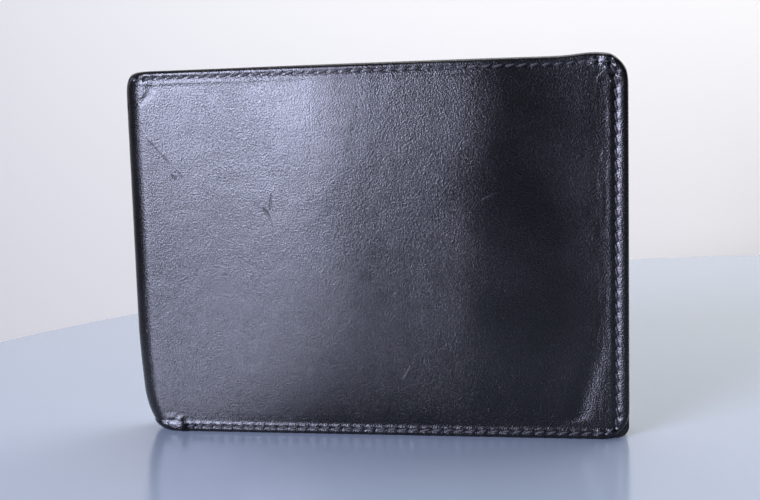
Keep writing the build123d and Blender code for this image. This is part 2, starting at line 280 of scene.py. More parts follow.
waver = put(scratch, "ShaderNodeTexNoise", Scale=14.0, Detail=2.0)
scratch.links.new(source.outputs["Vector"], waver.inputs["Vector"])
bent = put(scratch, "ShaderNodeVectorMath", operation="SCALE")
bent.inputs["Scale"].default_value = 0.006
scratch.links.new(waver.outputs["Color"], bent.inputs[0])
here = vector_math(scratch, "ADD", source.outputs["Vector"], bent.outputs[0]).outputs[0]
along = vector_math(scratch, "SUBTRACT", source.outputs["End"], source.outputs["Start"]).outputs[0]
away = vector_math(scratch, "SUBTRACT", here, source.outputs["Start"]).outputs[0]
share = math(
    scratch,
    "DIVIDE",
    vector_math(scratch, "DOT_PRODUCT", away, along).outputs["Value"],
    vector_math(scratch, "DOT_PRODUCT", along, along).outputs["Value"],
    clamp=True,
)
nearest = put(scratch, "ShaderNodeVectorMath", operation="SCALE")
scratch.links.new(along, nearest.inputs[0])
scratch.links.new(share, nearest.inputs["Scale"])
gap = vector_math(scratch, "SUBTRACT", away, nearest.outputs[0])
distance = vector_math(scratch, "LENGTH", gap.outputs[0]).outputs["Value"]
rest_of_it = math(scratch, "SUBTRACT", 1.0, share)
taper = math(scratch, "MULTIPLY", math(scratch, "MULTIPLY", share, rest_of_it), 4.0)
reach = math(scratch, "MULTIPLY", source.outputs["Width"], math(scratch, "ADD", taper, 0.25))
mask = math(scratch, "SUBTRACT", 1.0, math(scratch, "DIVIDE", distance, reach), clamp=True)
scratch.links.new(mask, result.inputs["Mask"])

# %% The cover's leather
# Each scratch is given by its two ends on the sheet, in decimetres from the fold and from the lower edge, then its
# half width and how strongly it is pressed in.
FACE_SCRATCHES = [
    ((0.080, 0.810), (0.235, 0.645), 0.0032, -1.6),
    ((0.225, 0.655), (0.330, 0.605), 0.0030, -1.0),
    ((0.166, 0.695), (0.190, 0.665), 0.0042, -1.6),
    ((0.415, 0.605), (0.443, 0.560), 0.0046, -1.8),
    ((0.443, 0.645), (0.437, 0.578), 0.0042, -1.6),
    ((0.960, 0.600), (1.040, 0.640), 0.0040, 1.0),
    ((0.900, 0.470), (0.960, 0.530), 0.0034, 0.8),
    ((0.760, 0.140), (0.800, 0.210), 0.0034, 0.8),
]
scratch_depth = 1.6  # at a press of 1, in heights of the grain


def leather(name, colour, roughness, pebble, bump, marks=()):
    """Black leather: pebbled grain, cloudy polish and, on the cover, a few scratches."""
    material, tree, shader = new_material(name)
    place = put(tree, "ShaderNodeUVMap", uv_map="sheet")
    pebbled = tree.nodes.new("ShaderNodeGroup")
    pebbled.node_tree = grain
    pebbled.inputs["Pebble Size"].default_value = pebble
    tree.links.new(place.outputs["UV"], pebbled.inputs["Vector"])
    height = pebbled.outputs["Height"]
    wear = None
    for start, end, reach, press in marks:
        line = tree.nodes.new("ShaderNodeGroup")
        line.node_tree = scratch
        line.inputs["Start"].default_value = (*start, 0)
        line.inputs["End"].default_value = (*end, 0)
        line.inputs["Width"].default_value = reach
        tree.links.new(place.outputs["UV"], line.inputs["Vector"])
        height = math(tree, "MULTIPLY_ADD", line.outputs["Mask"], scratch_depth * press, height)
        wear = line.outputs["Mask"] if wear is None else math(tree, "MAXIMUM", wear, line.outputs["Mask"])
    tone = remap(tree, pebbled.outputs["Cloud"], 0.35, 0.65)
    dark = tuple(0.7 * value for value in colour)
    shade = mix(tree, tone, (*dark, 1), (*colour, 1))
    polish = remap(tree, pebbled.outputs["Cloud"], 0.3, 0.7, roughness - 0.04, roughness + 0.05)
    polish = math(tree, "ADD", polish, remap(tree, pebbled.outputs["Height"], 0.75, 0.35, 0.0, 0.10))
    if wear is not None:
        shade = mix(tree, math(tree, "MULTIPLY", wear, 0.6), shade, (0.006, 0.006, 0.007, 1))
        polish = math(tree, "MULTIPLY_ADD", wear, 0.35, polish)
    tree.links.new(shade, shader.inputs["Base Color"])
    tree.links.new(polish, shader.inputs["Roughness"])
    bumped = put(tree, "ShaderNodeBump", Strength=1.0, Distance=bump)
    tree.links.new(height, bumped.inputs["Height"])
    tree.links.new(bumped.outputs["Normal"], shader.inputs["Normal"])
    return material


cover_leather = leather(
    "cover_leather",
    (0.0034, 0.0031, 0.0038),
    roughness=0.21,
    pebble=0.0038,
    bump=0.00007,
    marks=FACE_SCRATCHES,
)
inner_leather = leather("inner_leather", (0.0065, 0.0060, 0.0070), roughness=0.30, pebble=0.0046, bump=0.00009)
print("leather materials", [m.name for m in bpy.data.materials if "leather" in m.name])

# %% [markdown]
# ## The shape of a half
# Each half of the wallet is a pillow: round at the fold, crowned over the note compartment and flat in the sewn
# margins. The leather, its lining and the inner wall all follow it at their own depth. So the shape is written
# once, as a place for each distance round the fold, height and depth.

# %% The pillow
width, height = 0.129, 0.095
fold_x = -0.058  # where the fold's round ends and the flat side begins
fold_radius = 0.0065
quarter = fold_radius * pi / 2
flat_width = quarter + width / 2 - fold_x
crown = 0.0035  # how far the fullest place stands out
crown_end_x = 0.0592
crown_foot_z, crown_full_z = 0.0026, 0.060
lower_corner, upper_corner = 0.012, 0.0055  # heights over which the fold's ends are rounded
upper_corner_z = 0.0895


def ease(t):
    """0 below 0, 1 above 1 and a smooth ramp between."""
    t = min(max(t, 0.0), 1.0)
    return t * t * (3 - 2 * t)


def settle(t):
    """Like ease, with no kink in its slope, so that a broad reflection runs over it without a line."""
    t = min(max(t, 0.0), 1.0)
    return t**3 * (10 - 15 * t + 6 * t * t)


def bulge(x, z):
    """How far the pillow stands out beyond the margins."""
    across = (x - fold_x) / (crown_end_x - fold_x)
    if not 0 < across < 1:
        return 0.0
    sides = settle(across / 0.50) * settle((1 - across) / 0.32)
    ripe = sides * (0.78 + 0.22 * 4 * across * (1 - across))
    foot = (z - crown_foot_z) / 0.0574
    up = 1 - (1 - min(max(foot, 0), 1)) ** 3.2
    down = 1 - 0.40 * max((z - crown_full_z) / 0.035, 0) ** 2
    return crown * ripe * up * down


def pinch(z):
    """How far the fold is drawn in near its lower end and at the top."""
    drawn = 0.0012 * (1 - ease(z / 0.030))
    if z < lower_corner:
        drawn += 0.0052 * (1 - sqrt(max(0.0, 1 - ((lower_corner - z) / lower_corner) ** 2)))
    if z > upper_corner_z:
        drawn += 0.0030 * (1 - sqrt(max(0.0, 1 - ((z - upper_corner_z) / upper_corner) ** 2)))
    return drawn


def on_half(side):
    """The place of a point of a sheet that wraps round the fold, on that side."""

    def place(s, z, depth):
        if s < quarter:
            angle = s / fold_radius
            x = fold_x - (fold_radius - depth) * cos(angle)
            y = (fold_radius - depth) * sin(angle)
        else:
            x = fold_x + s - quarter
            y = fold_radius - depth + bulge(x, z)
        x += pinch(z) * (1 - ease((x + width / 2) / 0.022))
        # The upper free corner is drawn in a little and stands up.
        x -= 0.0013 * ease((z - 0.0865) / 0.0085) ** 2 * ease((x - 0.048) / 0.016)
        z += 0.0006 * exp(-(((x - 0.0560) / 0.0050) ** 2)) * ease((z - 0.0880) / 0.0070)
        return (x, side * y, z)

    return place

# %% [markdown]
# ## Sheets with turned edges
# A leather sheet is thin, its corners are rounded and its edges roll over into a hem. A grid is laid over its
# outline, dense near the edges, where stitches and creases are, and a ring of faces rolls round each edge to the
# back. Cloth-like sheets are easier to write as a mesh than to model by hand, so this one builder makes them all.

# %% Sheet builder
def steps(low, high, fine_low, fine_high, fine, coarse):
    """Distances from low to high, closer together near either end."""
    values = list(np.arange(low, low + fine_low - 1e-9, fine))
    inner_length = high - low - fine_low - fine_high
    inner = np.linspace(low + fine_low, high - fine_high, max(2, round(inner_length / coarse) + 1))
    return np.array(values + list(inner) + list(np.arange(high, high - fine_high + 1e-9, -fine)[::-1]))


def rounded(s, z, box, radii):
    """Moves the points of a rectangle into the same rectangle with rounded corners."""
    s, z = s.copy(), z.copy()
    low_s, high_s, low_z, high_z = box
    for (right, top), radius in radii.items():
        centre_s = high_s - radius if right else low_s + radius
        centre_z = high_z - radius if top else low_z + radius
        along, up = (1 if right else -1), (1 if top else -1)
        a, b = (s - centre_s) * along, (z - centre_z) * up
        inside = (a > 0) & (b > 0)
        scale = np.where(inside, np.maximum(a, b) / np.maximum(np.hypot(a, b), 1e-12), 1.0)
        s = np.where(inside, centre_s + a * scale * along, s)
        z = np.where(inside, centre_z + b * scale * up, z)
    return s, z


def make_sheet(name, place, s_values, z_values, radii, thick, hem=0.0, inner=None, open_left=False, relief=None):
    """A closed sheet: outer face, rolled edge, hem and inner face.

    place(s, z, depth) gives a point; thick is the edge's thickness, hem the hem's width and inner the depth of the
    inner face. With open_left the left edge isn't rolled. relief(s, z) raises or lowers the outer face.
    """
    roll = thick / 2
    inner = thick if inner is None else inner
    low_s, high_s, low_z, high_z = s_values[0], s_values[-1], z_values[0], z_values[-1]
    u = (s_values - low_s) / (high_s - low_s)
    v = (z_values - low_z) / (high_z - low_z)
    grid_u, grid_v = np.meshgrid(u, v, indexing="ij")

    def plan(inset):
        box = (low_s + (0 if open_left else inset), high_s - inset, low_z + inset, high_z - inset)
        kept = {c: max(r - inset, 0.0002) for c, r in radii.items() if r > 0 and not (open_left and not c[0])}
        s = box[0] + grid_u * (box[1] - box[0])
        z = box[2] + grid_v * (box[3] - box[2])
        return rounded(s, z, box, kept)

    count_s, count_z = len(u), len(v)
    ring = [(i, 0) for i in range(count_s)]
    ring += [(count_s - 1, j) for j in range(1, count_z)]
    ring += [(i, count_z - 1) for i in range(count_s - 2, -1, -1)]
    ring += [(0, j) for j in range(count_z - 2, 0, -1)]
    points, uvs = [], []

    def add_point(s, z, depth):
        points.append(place(s, z, depth))
        uvs.append((s * DECIMETRES, z * DECIMETRES))
        return len(points) - 1

    s_outer, z_outer = plan(roll)
    outer = {}
    for i in range(count_s):
        for j in range(count_z):
            s, z = s_outer[i, j], z_outer[i, j]
            lift = relief(s, z) if relief else 0.0
            outer[i, j] = add_point(s, z, -lift)
    turned = [radians(angle) for angle in (30, 60, 90, 120, 150, 180)]
    stations = [(roll * (1 - sin(angle)), roll * (1 - cos(angle))) for angle in turned]
    if hem:
        stations += [(hem * 0.5, thick), (hem - 0.0002, thick), (hem, thick - 0.0002), (hem, inner)]
    rings = [[outer[k] for k in ring]]
    for inset, depth in stations[:-1]:
        s_ring, z_ring = plan(inset)
        fade = 1 - depth / thick
        level = []
        for k in ring:
            s, z = s_ring[k], z_ring[k]
            lift = relief(s_outer[k], z_outer[k]) * max(fade, 0) if relief else 0.0
            level.append(add_point(s, z, depth - lift))
        rings.append(level)
    s_inner, z_inner = plan(stations[-1][0])
    back = {}
    for i in range(count_s):
        for j in range(count_z):
            back[i, j] = add_point(s_inner[i, j], z_inner[i, j], inner)
    rings.append([back[k] for k in ring])
    faces = []
    for i in range(count_s - 1):
        for j in range(count_z - 1):
            faces.append((outer[i, j], outer[i + 1, j], outer[i + 1, j + 1], outer[i, j + 1]))
            faces.append((back[i, j], back[i, j + 1], back[i + 1, j + 1], back[i + 1, j]))
    for first, second in zip(rings, rings[1:]):
        for k in range(len(ring)):
            n = (k + 1) % len(ring)
            faces.append((first[n], first[k], second[k], second[n]))
    mesh = bpy.data.meshes.new(name)
    mesh.from_pydata(points, [], faces)
    layer = mesh.uv_layers.new(name="sheet")
    index = np.empty(len(mesh.loops), dtype=np.int32)
    mesh.loops.foreach_get("vertex_index", index)
    layer.data.foreach_set("uv", np.array(uvs, dtype=np.float32)[index].ravel())
    sheet = bpy.data.objects.new(name, mesh)
    bpy.context.collection.objects.link(sheet)
    shell = bmesh.new()
    shell.from_mesh(mesh)
    bmesh.ops.remove_doubles(shell, verts=shell.verts, dist=1e-7)
    bmesh.ops.recalc_face_normals(shell, faces=shell.faces)
    shell.to_mesh(mesh)
    shell.free()
    bpy.ops.object.select_all(action="DESELECT")
    bpy.context.view_layer.objects.active = sheet
    sheet.select_set(True)
    bpy.ops.object.shade_smooth_by_angle(angle=radians(50))
    return sheet


def volume(piece):
    """The volume a closed piece holds, in mm3, negative if its faces point inwards, and its open edges."""
    shell = bmesh.new()
    shell.from_mesh(piece.data)
    held = shell.calc_volume(signed=True) * 1e9
    loose = sum(1 for edge in shell.edges if len(edge.link_faces) != 2)
    shell.free()
    return round(held, 1), loose

# %% [markdown]
# ## The cover
# One hide runs from the front, round the fold, to the back, with its hem turned in along the top, the free edge
# and the bottom. It is made as two halves that meet in the middle of the fold. The outer face carries the marks of
# use: the stitched channel, the ridge of the hem, the valley beside the free edge, a crease across the upper corner
# at the fold, and bunched leather at two corners.

# %% Where the stitches go
stitch_pitch = 0.0029
seam_from_top, seam_from_free, seam_from_foot = 0.0020, 0.0030, 0.0017


def run(corners, radii):
    """The points of a path with rounded corners, close together."""
    points = [Vector(corners[0])]
    for before, here, after, radius in zip(corners, corners[1:], corners[2:], radii):
        here, back, ahead = Vector(here), Vector(before) - Vector(here), Vector(after) - Vector(here)
        start = here + back.normalized() * radius
        end = here + ahead.normalized() * radius
        for t in np.linspace(0, 1, 9).tolist():
            points.append((1 - t) ** 2 * start + 2 * t * (1 - t) * here + t**2 * end)
    points.append(Vector(corners[-1]))
    return points


def needle_holes(path):
    """The places along a path where the needle went through."""
    lengths = [0.0]
    for first, second in zip(path, path[1:]):
        lengths.append(lengths[-1] + (second - first).length)
    knots = np.linspace(0, lengths[-1], round(lengths[-1] / stitch_pitch) + 1)
    across, up = ([p[axis] for p in path] for axis in (0, 1))
    return [Vector(pair) for pair in zip(np.interp(knots, lengths, across), np.interp(knots, lengths, up))]


free_s, top_z = flat_width - seam_from_free, height - seam_from_top
edge_path = run(
    [(0.0045, top_z), (free_s, top_z), (free_s, seam_from_foot), (0.0165, seam_from_foot)],
    [0.0015, 0.0035],
)
edge_holes = needle_holes(edge_path)
near_hole = kdtree.KDTree(len(edge_holes))
for index, hole in enumerate(edge_holes):
    near_hole.insert((hole.x, hole.y, 0), index)
near_hole.balance()
print("the cover's seam has", len(edge_holes) - 1, "stitches")

# %% Marks of use on the outer face
sewn_margin = 0.0062
hem_line = 0.0040


def groove(distance, reach):
    """A smooth dip round distance zero."""
    return exp(-((distance / reach) ** 2))


def cover_relief(s, z):
    """How far the outer face stands out of the pillow, from the hem, the seam and wear, in metres."""
    x = fold_x + s - quarter
    from_top, from_free = height - z, width / 2 - x
    marks = 0.0
    if min(from_top, z, from_free) < sewn_margin:
        # The hem's ridge along each edge, the channel of the seam in it, and the needle holes.
        top = 0.00006 * (1 - ease((from_top - 0.0034) / 0.0010))
        top -= 0.00005 * groove(from_top - hem_line, 0.00035)
        foot = 0.00010 * (1 - ease((z - 0.0021) / 0.0006))
        free = 0.00002 * (1 - ease((from_free - 0.0036) / 0.0020))
        marks = max(top, foot, free)
        marks -= 0.00010 * max(
            0.4 * groove(from_top - seam_from_top, 0.0006) * (s > 0.004),
            groove(z - seam_from_foot, 0.0006) * (s > 0.010),
            0.8 * groove(from_free - seam_from_free, 0.0008),
        )
        on_top_seam = from_top < hem_line < from_free
        hole_depth, hole_reach = (0.00034, 0.00055) if on_top_seam else (0.00052, 0.00078)
        marks -= hole_depth * groove(near_hole.find((s, z, 0))[2], hole_reach)
    # The leather sinks above the lower ridge and rolls under at the lower edge.
    marks -= 0.00030 * exp(-max(z - 0.0032, 0) / 0.0045) * ease((z - 0.0020) / 0.0012)
    marks -= 0.00060 * max(1 - z / 0.0024, 0) ** 2
    # The valley beside the free edge swings inwards and deepens towards the lower corner.
    low = 1 - ease(z / 0.034)
    valley = 0.0066 + 0.0066 * low**1.3
    depth = 0.00007 + 0.00045 * low
    inside_seam = ease((from_free - 0.0040) / 0.0015) * ease((z - 0.004) / 0.002)
    marks -= depth * groove(from_free - valley, 0.0024) * inside_seam
    # A crease runs round the upper corner at the fold, and a short one beside it.
    corner = hypot(s - 0.0050, z - 0.0940)
    marks -= 0.00024 * groove(corner - 0.0082, 0.00045) * (s > 0.004)
    marks -= 0.00010 * groove(s - 0.0290, 0.0008) * ease((z - 0.086) / 0.004)
    # Fine wrinkles by the free edge, then broad waves over the whole face.
    point = Vector((s * 1000, z * 1000, 0))
    crease = ease((0.0115 - from_free) / 0.004) * ease((from_free - 0.0040) / 0.0012) * ease((z - 0.004) / 0.003)
    marks += 0.00005 * crease * noise.noise(Vector((point.x * 0.9, point.y * 0.22, 4)))
    marks += 0.00002 * noise.noise(point * 0.07)
    marks += 0.00003 * noise.noise(point * 0.28 + Vector((7, 3, 1)))
    # Bunched leather at the upper free corner, and a worn knot at the fold's lower end.
    bunched = groove(hypot(from_free - 0.0035, from_top - 0.0015), 0.0042)
    marks += bunched * (0.0004 + 0.0005 * noise.noise(point * 0.75))
    knot = groove(hypot(s - 0.0138, z - 0.0020), 0.0026)
    marks += knot * (0.0002 + 0.0011 * noise.noise(point * 0.65 + Vector((2, 9, 4))))
    return marks


# %% Make the two halves of the cover
s_steps = steps(0, flat_width, 0.0105, 0.0070, 0.0003, 0.0010)
z_steps = steps(0, height, 0.0066, 0.0060, 0.0003, 0.0010)
cover_corners = {(True, False): 0.0074, (True, True): 0.0042}
leather_thickness, edge_thickness, hem_width = 0.001, 0.002, 0.0055


def finish_piece(piece, material, replaced):
    """Gives a piece its material, hides the solids it stands for and prints its volume, open edges and faces."""
    piece.data.materials.clear()
    piece.data.materials.append(material)
    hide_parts(*replaced)
    held, loose = volume(piece)
    print(f"{piece.name}: {held} mm3, {loose} open edges, {len(piece.data.polygons)} faces")
    return piece


fold_outside = (fold_x - fold_radius, 0, height / 2)


def bend_ends(side):
    """Two points on a half's fold, its outside and where it meets the flat side, in the order of the half's bodies.
    """
    tangent = (fold_x, side * fold_radius, height / 2)
    return (fold_outside, tangent) if side == FRONT else (tangent, fold_outside)


for side, name, bodies, replaced in (
    (FRONT, "front_cover_hide", ("spine", "front"), ["front_cover", "spine_cover"]),
    (BACK, "back_cover_hide", ("back", "spine"), ["back_cover"]),
):
    hide = make_sheet(
        name,
        on_half(side),
        s_steps,
        z_steps,
        cover_corners,
        edge_thickness,
        hem=hem_width,
        inner=leather_thickness,
        open_left=True,
        relief=cover_relief,
    )
    finish_piece(hide, cover_leather, replaced)
    ends = bend_ends(side)
    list(bodies)
    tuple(ends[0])
    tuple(ends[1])
    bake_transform(hide)

# %% [markdown]
# ## Thread
# The seams are sewn with a black twisted thread. Each stitch is a short, slightly slanted strand that dives into
# the leather at both ends. One stitch is modelled from a sphere, drawn out and flattened, then copied along every
# seam; the twist is a slanting wave in the material.

# %% Thread material
thread_material, tree, shader = new_material("black_thread")
place = put(tree, "ShaderNodeTexCoord")
twist = put(tree, "ShaderNodeTexWave", bands_direction="DIAGONAL", Scale=900.0, Distortion=0.6, Detail=1.0)
tree.links.new(place.outputs["Object"], twist.inputs["Vector"])
shade = mix(tree, twist.outputs["Fac"], (0.006, 0.006, 0.007, 1), (0.036, 0.035, 0.042, 1))
tree.links.new(shade, shader.inputs["Base Color"])
shader.inputs["Roughness"].default_value = 0.50
shader.inputs["Sheen Weight"].default_value = 0.1
bumped = put(tree, "ShaderNodeBump", Strength=0.8, Distance=0.00006)
tree.links.new(twist.outputs["Fac"], bumped.inputs["Height"])
tree.links.new(bumped.outputs["Normal"], shader.inputs["Normal"])

# %% One stitch
stitch_length, thread_radius = 0.0023, 0.00032
bpy.ops.object.select_all(action="DESELECT")
bpy.ops.mesh.primitive_uv_sphere_add(segments=8, ring_count=8, radius=thread_radius, rotation=(0, pi / 2, 0))
stitch = bpy.context.object
stitch.name = "stitch"
bpy.ops.object.transform_apply(location=False, rotation=True, scale=False)
bpy.ops.object.mode_set(mode="EDIT")
bpy.ops.mesh.select_all(action="SELECT")
bpy.ops.transform.resize(value=(stitch_length / 2 / thread_radius, 1.0, 0.9))
bpy.ops.object.mode_set(mode="OBJECT")
bpy.ops.object.shade_smooth()
print("one stitch has", len(stitch.data.polygons), "faces")


# %% Sew a seam
stitch_sink = 0.00006


def sew(name, path, place, slant=12):
    """Lays a stitch between each two needle holes of a path on a sheet, and joins them into one piece."""
    holes = needle_holes(path)
    copies = []
    for first, second in zip(holes, holes[1:]):
        middle = (first + second) / 2
        here = Vector(place(middle.x, middle.y, 0.0))
        under = Vector(place(middle.x, middle.y, 0.001))
        ends = [Vector(place(hole.x, hole.y, 0.0)) for hole in (first, second)]
        forward = (ends[1] - ends[0]).normalized()
        outward = (here - under).normalized()
        across = outward.cross(forward).normalized()
        turned = Matrix((forward, across, forward.cross(across))).transposed().to_4x4()
        tilt = Matrix.Rotation(radians(slant), 4, "Z")
        size = Matrix.Diagonal(((second - first).length / stitch_pitch, 1, 1, 1))
        copy = stitch.copy()
        copy.data = stitch.data.copy()
        copy.data.transform(Matrix.Translation(here - outward * stitch_sink) @ turned @ tilt @ size)
        bpy.context.collection.objects.link(copy)
        copies.append(copy)
    bpy.ops.object.select_all(action="DESELECT")
    for copy in copies:
        copy.select_set(True)
    bpy.context.view_layer.objects.active = copies[0]
    bpy.ops.object.join()
    seam = bpy.context.object
    seam.name = name
    seam.data.materials.clear()
    seam.data.materials.append(thread_material)
    print(f"{name}: {len(copies)} stitches")
    return seam


# %% The cover's seams
for side, name, bodies, replaced in (
    (FRONT, "front_seam", ("spine", "front"), "front_edge_thread"),
    (BACK, "back_seam", ("back", "spine"), "back_edge_thread"),
):
    def on_seam(s, z, depth, side=side):
        """The stitched surface: the pillow with the relief of the leather."""
        return on_half(side)(s, z, depth - cover_relief(s, z))

    seam = sew(name, edge_path, on_seam, slant=-14 * side)
    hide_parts(replaced)
    ends = bend_ends(side)
    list(bodies)
    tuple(ends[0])
    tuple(ends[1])
    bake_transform(seam)

# %% [markdown]
# ## Lining and the wall of the note compartment
# Inside the leather lies a thin woven lining, caught under the hem. A leather wall in front of it closes the note
# compartment, which is open at the top. Both run round the fold like the cover, so they use the same pillow at
# their own depth.

# %% Woven lining material
weave, source, result = group_of(
    "plain_weave",
    [("Vector", "Vector", None), ("Threads", "Float", 260.0)],
    [("Height", "Float")],
)
split = put(weave, "ShaderNodeSeparateXYZ")
weave.links.new(source.outputs["Vector"], split.inputs["Vector"])
turns = math(weave, "MULTIPLY", source.outputs["Threads"], pi)
warp = math(weave, "SINE", math(weave, "MULTIPLY", split.outputs["X"], turns))
weft = math(weave, "SINE", math(weave, "MULTIPLY", split.outputs["Y"], turns))
crossings = math(weave, "MULTIPLY", warp, weft)
weave.links.new(math(weave, "MULTIPLY_ADD", crossings, 0.5, 0.5), result.inputs["Height"])

lining_cloth, tree, shader = new_material("lining_cloth")
place = put(tree, "ShaderNodeUVMap", uv_map="sheet")
woven = tree.nodes.new("ShaderNodeGroup")
woven.node_tree = weave
tree.links.new(place.outputs["UV"], woven.inputs["Vector"])
shade = mix(tree, woven.outputs["Height"], (0.012, 0.012, 0.014, 1), (0.032, 0.032, 0.036, 1))
tree.links.new(shade, shader.inputs["Base Color"])
shader.inputs["Roughness"].default_value = 0.62
shader.inputs["Sheen Weight"].default_value = 0.25
bumped = put(tree, "ShaderNodeBump", Strength=0.7, Distance=0.00005)
tree.links.new(woven.outputs["Height"], bumped.inputs["Height"])
tree.links.new(bumped.outputs["Normal"], shader.inputs["Normal"])

# %% Lining and note wall
wall_top = 0.0888


def lining_relief(s, z):
    """Slack cloth, a little wavy."""
    return 0.00008 * noise.noise(Vector((s * 120, z * 90, 4)))


def wall_relief(s, z):
    """The pressed line under the wall's top edge."""
    return -0.00012 * groove(wall_top - z - 0.0022, 0.0003)


def wrapped(name, side, depth, thick, s_to, z_from, z_to, material, relief, replaced):
    """A sheet that runs from the fold's middle to s_to on one half, at a depth under the cover's outside."""

    def place(s, z, extra):
        return on_half(side)(s, z, depth + extra)

    sheet = make_sheet(
        name,
        place,
        steps(0, s_to, 0.0105, 0.004, 0.0007, 0.0021),
        steps(z_from, z_to, 0.004, 0.004, 0.0007, 0.0021),
        {(True, False): 0.003, (True, True): 0.001},
        thick,
        open_left=True,
        relief=relief,
    )
    finish_piece(sheet, material, replaced)
    ends = bend_ends(side)
    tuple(ends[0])
    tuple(ends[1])
    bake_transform(sheet)
    return sheet


for side, word, fold_too in ((FRONT, "front", True), (BACK, "back", False)):
    wrapped(
        f"{word}_lining",
        side,
        depth=0.00103,
        thick=0.0002,
        s_to=flat_width - 0.0057,
        z_from=0.0058,
        z_to=0.0892,
        material=lining_cloth,
        relief=lining_relief,
        replaced=[f"{word}_cover_lining"] + (["spine_lining"] if fold_too else []),
    )
    wrapped(
        f"{word}_wall",
        side,
        depth=0.00203,
        thick=0.00045,
        s_to=flat_width - 0.0005,
        z_from=0.0005,
        z_to=wall_top,
        material=inner_leather,
        relief=wall_relief,
        replaced=[f"{word}_note_wall"] + (["spine_note_wall"] if fold_too else []),
    )

# %% [markdown]
# ## Card side
# On the back half a panel carries three stepped card pockets, and over them a frame with a clear identity window.
# Each is one sheet of thin leather with rounded corners and a line pressed in just below its mouth. Their places
# come from the solids, whose boxes the frame gives.

# %% Flat leather sheets
def flat_sheet(name, node, side, body, material, corner, mouth=0.0018, wavy=0.00005):
    """A flat sheet in the place of a solid, with a turned-in top edge and a line pressed in below it."""
    low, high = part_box(node)
    near = min(abs(low.y), abs(high.y))
    thick = abs(high.y - low.y)

    def place(s, z, depth):
        return (s, side * (near + depth), z)

    def relief(s, z):
        turned_in = 0.0
        if mouth:
            turned_in = -0.00016 * groove(high.z - z - mouth, 0.0004)
            turned_in += 0.00008 * (1 - ease((high.z - z - 0.0058) / 0.0010))
        return turned_in + wavy * noise.noise(Vector((s * 70, z * 70, near * 4000)))

    sheet = make_sheet(
        name,
        place,
        steps(low.x, high.x, 0.003, 0.003, 0.0006, 0.0020),
        steps(low.z, high.z, 0.003, 0.0045, 0.0003, 0.0020),
        {(r, t): corner for r in (False, True) for t in (False, True)},
        thick,
        relief=relief,
    )
    finish_piece(sheet, material, [node])
    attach(sheet, body)
    return sheet


flat_sheet("card_side_panel", "card_panel", BACK, "back", inner_leather, 0.003)
for level in ("top", "middle", "lower"):
    flat_sheet(f"pocket_{level}", f"card_pocket_{level}", BACK, "back", inner_leather, 0.002)

# %% The identity window
frame_sheet = flat_sheet("window_frame", "id_window_frame", BACK, "back", inner_leather, 0.002)
frame_low, frame_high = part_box("id_window_frame")
film_low, film_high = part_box("id_window_film")
lap = 0.004
window = (film_low.x + lap, film_high.x - lap, film_low.z + lap, film_high.z - lap)
bpy.ops.object.select_all(action="DESELECT")
window_centre = ((window[0] + window[1]) / 2, frame_low.y, (window[2] + window[3]) / 2)
bpy.ops.mesh.primitive_cube_add(size=1, location=window_centre)
cutter = bpy.context.object
cutter.scale = (window[1] - window[0], 0.004, window[3] - window[2])
bpy.ops.object.transform_apply(location=True, rotation=False, scale=True)
bpy.ops.object.mode_set(mode="EDIT")
bpy.ops.mesh.select_all(action="DESELECT")
bpy.ops.object.mode_set(mode="OBJECT")
for edge in cutter.data.edges:
    first, second = (cutter.data.vertices[i].co for i in edge.vertices)
    edge.select = abs(first.y - second.y) > 0.003
bpy.ops.object.mode_set(mode="EDIT")
bpy.ops.mesh.bevel(offset=0.003, segments=6)
bpy.ops.object.mode_set(mode="OBJECT")
cut = frame_sheet.modifiers.new("window", "BOOLEAN")
cut.operation = "DIFFERENCE"
cut.object = cutter
bpy.context.view_layer.objects.active = frame_sheet
bpy.ops.object.modifier_apply(modifier=cut.name)
bpy.data.objects.remove(cutter)
print("window frame", volume(frame_sheet))

film_material, tree, shader = new_material("clear_film")
place = put(tree, "ShaderNodeTexCoord")
ripple = put(tree, "ShaderNodeTexNoise", Scale=60.0, Detail=2.0)
tree.links.new(place.outputs["Object"], ripple.inputs["Vector"])
bumped = put(tree, "ShaderNodeBump", Strength=0.4, Distance=0.0004)
tree.links.new(ripple.outputs["Fac"], bumped.inputs["Height"])
tree.links.new(bumped.outputs["Normal"], shader.inputs["Normal"])
haze = remap(tree, ripple.outputs["Fac"], 0.3, 0.7, 0.06, 0.16)
tree.links.new(haze, shader.inputs["Roughness"])
shader.inputs["Base Color"].default_value = (0.9, 0.92, 0.94, 1)
shader.inputs["Alpha"].default_value = 0.22
shader.inputs["Specular IOR Level"].default_value = 0.6
flat_sheet("window_film", "id_window_film", BACK, "back", film_material, 0.002, mouth=0, wavy=0.00003)

# %% The card side's stitching
card_low, card_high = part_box("card_pocket_top")
lower_low, lower_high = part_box("card_pocket_lower")
middle_low, middle_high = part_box("card_pocket_middle")
card_layers = ((frame_high.z, frame_low.y), (lower_high.z, lower_low.y), (middle_high.z, middle_low.y))


def card_face(s, z, depth):
    """The foremost sheet of the card side at that height."""
    for mouth, near in card_layers:
        if z < mouth:
            return (s, near + depth, z)
    return (s, card_low.y + depth, z)


left_seam = card_low.x + 0.0025
card_seam = sew("card_seam", run([(left_seam, 0.004), (left_seam, card_high.z - 0.002)], []), card_face)
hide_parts("card_pocket_thread")
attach(card_seam, "back")

# %% [markdown]
# ## Coin pouch
# On the front half a flat pouch holds coins. A panel is its front and a lining sheet its back, sewn together at
# three sides. A flap is sewn on above its mouth, bends over and closes with a press stud.

